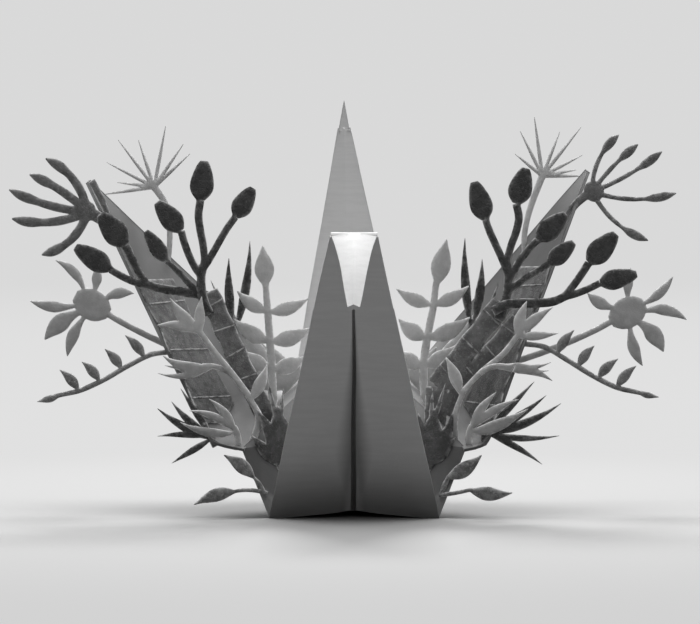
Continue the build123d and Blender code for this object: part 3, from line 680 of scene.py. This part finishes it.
def bead_tree():
    """Nodes that lay a slightly wandering round bead along lines, and their inputs' keys."""
    tree = bpy.data.node_groups.new("laid beads", "GeometryNodeTree")
    interface = tree.interface
    interface.new_socket("Lines", in_out="INPUT", socket_type="NodeSocketGeometry")
    keys = {}
    for name, kind in BEAD_INPUTS.items():
        socket = interface.new_socket(name, in_out="INPUT", socket_type="NodeSocket" + kind)
        keys[name] = socket.identifier
    interface.new_socket("Beads", in_out="OUTPUT", socket_type="NodeSocketGeometry")
    given = tree.nodes.new("NodeGroupInput").outputs

    curve = add_node(tree, "GeometryNodeMeshToCurve", Mesh=given["Lines"])
    even = add_node(
        tree, "GeometryNodeResampleCurve", {"mode": "LENGTH"},
        Curve=curve.outputs["Curve"], Length=given["Bead step"],
    )
    uneven = add_node(
        tree, "ShaderNodeTexNoise", {"noise_dimensions": "4D"},
        Scale=WANDER_SCALE, Detail=1.0, W=given["Seed"],
    )
    centred = add_node(tree, "ShaderNodeVectorMath", {"operation": "SUBTRACT"})
    put(tree, uneven.outputs["Color"], centred, 0)
    put(tree, NOISE_MIDDLE, centred, 1)
    scaled = add_node(
        tree, "ShaderNodeVectorMath", {"operation": "SCALE"},
        Vector=centred.outputs["Vector"], Scale=given["Wander"],
    )
    moved = add_node(
        tree, "GeometryNodeSetPosition",
        Geometry=even.outputs["Curve"], Offset=scaled.outputs["Vector"],
    )
    profile = add_node(
        tree, "GeometryNodeCurvePrimitiveCircle",
        Resolution=BEAD_SIDES, Radius=given["Bead radius"],
    )
    bead = add_node(
        tree, "GeometryNodeCurveToMesh", Curve=moved.outputs["Geometry"],
        Profile_Curve=profile.outputs["Curve"], Fill_Caps=True,
    )
    real = add_node(tree, "GeometryNodeRealizeInstances", Geometry=bead.outputs["Mesh"])
    painted = add_node(
        tree, "GeometryNodeSetMaterial",
        Geometry=real.outputs["Geometry"], Material=given["Finish"],
    )
    add_node(tree, "NodeGroupOutput", Beads=painted.outputs["Geometry"])
    return tree, keys


beading, bead_keys = bead_tree()


def laid_beads(lines, radius, step, wander, seed, finish):
    """Rounded beads along the given lines, as a mesh."""
    holder = bpy.data.objects.new("bead lines", lines)
    scene.collection.objects.link(holder)
    laid = holder.modifiers.new("beads", "NODES")
    laid.node_group = beading
    laid[bead_keys["Bead radius"]] = radius * MM
    laid[bead_keys["Bead step"]] = step * MM
    laid[bead_keys["Wander"]] = wander * MM
    laid[bead_keys["Seed"]] = float(seed)
    laid[bead_keys["Finish"]] = finish
    shown = holder.evaluated_get(bpy.context.evaluated_depsgraph_get())
    beads = bpy.data.meshes.new_from_object(shown)
    holder.modifiers.clear()
    bpy.data.objects.remove(holder)
    return beads


def joint_beads(card, seed, finish):
    """The beads across one card's jointed stalks."""
    lines = bpy.data.meshes.new("joint lines")
    spots = []
    for start, end in card.raised:
        for spot in (start, end):
            spots.append(card.place(spot.x, spot.y, card.front_level - JOINT_SINK))
    lines.from_pydata(spots, [(i, i + 1) for i in range(0, len(spots), 2)], [])
    return laid_beads(lines, JOINT_RADIUS, JOINT_STEP, JOINT_WANDER, seed, finish)


# The folded sheet. The neck's two flaps close on each other, and curl inwards at their slit.

PAPER_STEP = 2.6  # how finely the sheet is divided
CUT_GAP = 0.002  # a cut takes up points this close to it
SLIT_CUTS = (0.9, 1.7, 2.8, 4.2)  # further cuts beside the neck's slit
NECK_ONLY = 12.0  # the neck lies further forward than this
BROAD_WAVES = (17.0, 0.16)  # how long and how high the paper's unevenness is
FINE_WAVES = (6.0, 0.045)
FINE_PLACE = Vector((7, 3, 5))  # the fine waves come from another part of the noise
FLAT_HEIGHT = 4.0  # the unevenness lifts the paper less below this, and not at the table
NECK_RUN = 39.0  # from the neck's foot to the top of its slit
CURL_REACH = 4.5
CURL_DEPTH = 0.95
CURL_CLOSE = 0.3
CURL_LOWEST = -3.0  # the curled part of the neck: how far below its foot, and how thick
CURL_BAND = (-5.0, 1.0)
FLAP_ROOM = 1.5  # between a flap and the neck's back
FLAP_LEAST = 0.6
FOLD_ANGLE = math.radians(50)  # folds sharper than this are rounded by a bead
FOLD_RADIUS = 0.07
FOLD_STEP = 2.0
SHORTEST_FOLD = 0.02
HEAD_DEPTH = 28.0  # the head lies further forward and higher than these
HEAD_LEVEL = 36.0


def paper_shift(spot):
    """How far the uneven paper lies from true at a point."""
    length, height = BROAD_WAVES
    broad = noise.noise_vector(spot / length) * height
    length, height = FINE_WAVES
    fine = noise.noise_vector(spot / length + FINE_PLACE) * height
    shift = broad + fine
    shift.z *= min(1.0, max(0.0, spot.z / FLAT_HEIGHT))
    run = spot - Vector((0, -NECK_FOOT, 0))
    forward = Vector((0, -math.cos(NECK_LEAN), -math.sin(NECK_LEAN)))
    ahead = run.dot(forward)
    up = run.dot(Vector((0, -math.sin(NECK_LEAN), math.cos(NECK_LEAN))))
    on_neck = CURL_LOWEST < up and CURL_BAND[0] < ahead < CURL_BAND[1]
    if on_neck and abs(spot.x) < CURL_REACH:
        share = 1 - abs(spot.x) / CURL_REACH
        fade = max(0.0, 1 - max(0.0, up) / NECK_RUN)
        room = min(1.0, max(0.0, (ahead + FLAP_ROOM * (FLAP_LEAST + fade)) / FLAP_ROOM))
        shift -= forward * CURL_DEPTH * share**2 * fade * room
        shift.x -= math.copysign(CURL_CLOSE * share**2 * fade, spot.x) * room
    return shift


def cut_through(sheet, parts, point, direction):
    """Divide the given parts of the sheet along a plane."""
    bmesh.ops.bisect_plane(
        sheet, geom=parts, plane_co=point, plane_no=direction, dist=CUT_GAP * MM
    )


def dress_sheet():
    """The crane's own mesh, divided evenly and laid slightly uneven."""
    sheet = welded_copy("crane")
    bmesh.ops.dissolve_degenerate(sheet, dist=CUT_GAP * MM, edges=sheet.edges)
    spots = [vertex.co for vertex in sheet.verts]
    for axis in range(3):
        low = min(spot[axis] for spot in spots)
        high = max(spot[axis] for spot in spots)
        count = int((high - low) / (PAPER_STEP * MM))
        normal = Vector((0, 0, 0))
        normal[axis] = 1.0
        for i in range(1, count):
            through = Vector((0, 0, 0))
            through[axis] = low + (high - low) * i / count
            cut_through(sheet, sheet.verts[:] + sheet.edges[:] + sheet.faces[:], through, normal)
    for reach in SLIT_CUTS:
        for way in (-1, 1):
            near = [
                face for face in sheet.faces
                if face.calc_center_median().y < base.y - NECK_ONLY * MM
            ]
            edges = dict.fromkeys(edge for face in near for edge in face.edges)
            corners = dict.fromkeys(corner for face in near for corner in face.verts)
            parts = near + list(edges) + list(corners)
            through = base + Vector((way * reach * MM, 0, 0))
            cut_through(sheet, parts, through, Vector((1, 0, 0)))
    bmesh.ops.triangulate(sheet, faces=sheet.faces)
    for vertex in sheet.verts:
        spot = (vertex.co - base) / MM
        vertex.co += paper_shift(spot) * MM
    sheet.normal_update()
    return sheet


def on_head(point):
    """Whether a point lies on the folded head, whose edges stay crisp."""
    spot = (point - base) / MM
    return spot.y < -HEAD_DEPTH and spot.z > HEAD_LEVEL


def fold_lines(sheet):
    """The sheet's outward folds and cut edges, as a mesh of lines."""
    found = [
        edge for edge in sheet.edges
        if len(edge.link_faces) == 2 and edge.calc_face_angle_signed(0.0) > FOLD_ANGLE
        and edge.calc_length() > SHORTEST_FOLD * MM and not on_head(edge.verts[0].co)
    ]
    spots = {}
    for edge in found:
        for vertex in edge.verts:
            spots.setdefault(vertex, len(spots))
    ends = [[spots[vertex] for vertex in edge.verts] for edge in found]
    lines = bpy.data.meshes.new("fold lines")
    lines.from_pydata([vertex.co for vertex in spots], ends, [])
    return lines


white_paper = crane_paper()
sheet = dress_sheet()
folds = laid_beads(
    fold_lines(sheet), FOLD_RADIUS, FOLD_STEP, wander=0.0, seed=0, finish=white_paper
)
sheet.from_mesh(folds)
for vertex in sheet.verts:
    vertex.co.z = max(0.0, vertex.co.z)
finish_piece("folded_sheet", sheet, white_paper, "crane", PAPER_CRISP)

# How far each kind of card is pressed forward in the middle: over what distance, and how high
PRESSED = {
    "palm_spray": (0.8, 0.1),
    "tall_buds": (1.2, 0.12),
    "low_buds": (1.2, 0.12),
    "vine": (0.7, 0.1),
    "paired_leaves": (1.2, 0.12),
    "root_leaves": (1.6, 0.2),
    "star_flower": (0.9, 0.08),
    "low_leaves": (0.9, 0.1),
}
PLAIN_PRESS = (0.6, 0.05)

for number, node in enumerate(name for name in nodes if name != "crane"):
    kind = node.replace("_left", "").replace("_right", "")
    finish = finishes[cards[kind][0]]
    card, mesh = dress_card(node, PRESSED.get(kind, PLAIN_PRESS))
    if card.raised:
        first = len(mesh.verts)
        mesh.from_mesh(joint_beads(card, number, finish))
        mesh.verts.ensure_lookup_table()
        worn = mesh.verts.layers.float["rim"]
        for vertex in mesh.verts[first:]:
            vertex[worn] = JOINT_WEAR
    finish_piece(node + "_card", mesh, finish, node, CARD_CRISP)


# The table and the room, in metres

FLOOR_TONE = 0.45
FORE_TONE = 0.65
FAR_TONE = 0.75
ROOM_TONE = 0.695
BOUNCE_TONE = 0.155
TABLE_CORNERS = [(-6, -2, 0), (6, -2, 0), (6, 9, 0), (-6, 9, 0)]
SHADOW_EDGE = (0.06, 0.17)  # from the crane: the lit table gives way to a glowing tone here, with painted shade nearer the viewer
FORE_TO_FAR = (-0.15, 0.08)
FAR_TO_ROOM = (0.3, 3.0)
AMBIENT_STRENGTH = 0.12

table_mesh = bpy.data.meshes.new("table")
table_mesh.from_pydata(TABLE_CORNERS, [], [(0, 1, 2, 3)])
table = bpy.data.objects.new("table", table_mesh)
scene.collection.objects.link(table)


def table_finish():
    """Pale table: it keeps the crane's shadow, glows further out with painted shade nearer the
    viewer, and runs out into the pale room.
    """
    finish = Wiring(bpy.data.materials.new("table paper"))
    place = finish.place()
    distance = finish.add("VectorMath", {"operation": "DISTANCE"})
    put(finish.tree, place, distance, 0)
    put(finish.tree, tuple(base), distance, 1)
    away = distance.outputs["Value"]
    # painted shade: the glowing table is darker towards the viewer
    nearer = finish.ramp(finish.axes(place)["Y"], *FORE_TO_FAR)
    even = finish.blend(nearer, grey(FORE_TONE), grey(FAR_TONE))
    receding = finish.blend(finish.ramp(away, *FAR_TO_ROOM), even, grey(ROOM_TONE))
    lit = finish.add("BsdfDiffuse", Color=grey(FLOOR_TONE))
    far = finish.add("Emission", Strength=1.0, Color=receding)
    shown = finish.mixed(finish.ramp(away, *SHADOW_EDGE), lit, far)
    dim = finish.add("BsdfDiffuse", Color=grey(BOUNCE_TONE))
    choice = finish.mixed(finish.seen_directly(), dim, shown)
    finish.add("OutputMaterial", Surface=choice.outputs["Shader"])
    return finish.owner


table_mesh.materials.append(table_finish())

room = Wiring(bpy.data.worlds.new("room"))
scene.world = room.owner
ambient = room.add("Background", Color=grey(1.0), Strength=AMBIENT_STRENGTH)
backdrop = room.add("Background", Color=grey(ROOM_TONE), Strength=1.0)
choice = room.mixed(room.seen_directly(), ambient, backdrop)
room.add("OutputWorld", Surface=choice.outputs["Shader"])


# Light: a wide soft lamp overhead, a little towards the viewer, and a smaller one behind

LAMP_AIM = Vector((0, 0, 0.03))


def add_lamp(name, place, width, depth, power):
    lamp = bpy.data.lights.new(name, "AREA")
    lamp.shape = "RECTANGLE"
    lamp.size = width
    lamp.size_y = depth
    lamp.energy = power
    holder = bpy.data.objects.new(name, lamp)
    holder.location = place
    holder.rotation_euler = (LAMP_AIM - Vector(place)).to_track_quat("-Z", "Y").to_euler()
    scene.collection.objects.link(holder)


add_lamp("overhead lamp", (0, -0.1, 0.9), width=0.7, depth=0.5, power=7.6)
add_lamp("back lamp", (0, 0.6, 0.75), width=0.35, depth=0.25, power=9.0)


# The camera stands in front of the middle of the base, and looks slightly down

CAMERA_PLACE = (0, -581, 50)
CAMERA_DIP = 1.374  # degrees
CAMERA_TURN = 0.0714

view = bpy.data.cameras.new("camera")
view.lens = 165.1
view.sensor_width = 36.0
view.clip_start = 0.01
camera = bpy.data.objects.new("camera", view)
camera.location = base + Vector(CAMERA_PLACE) * MM
camera.rotation_euler = (math.radians(90 - CAMERA_DIP), 0, math.radians(CAMERA_TURN))
scene.collection.objects.link(camera)
scene.camera = camera
scene.view_settings.view_transform = "Standard"
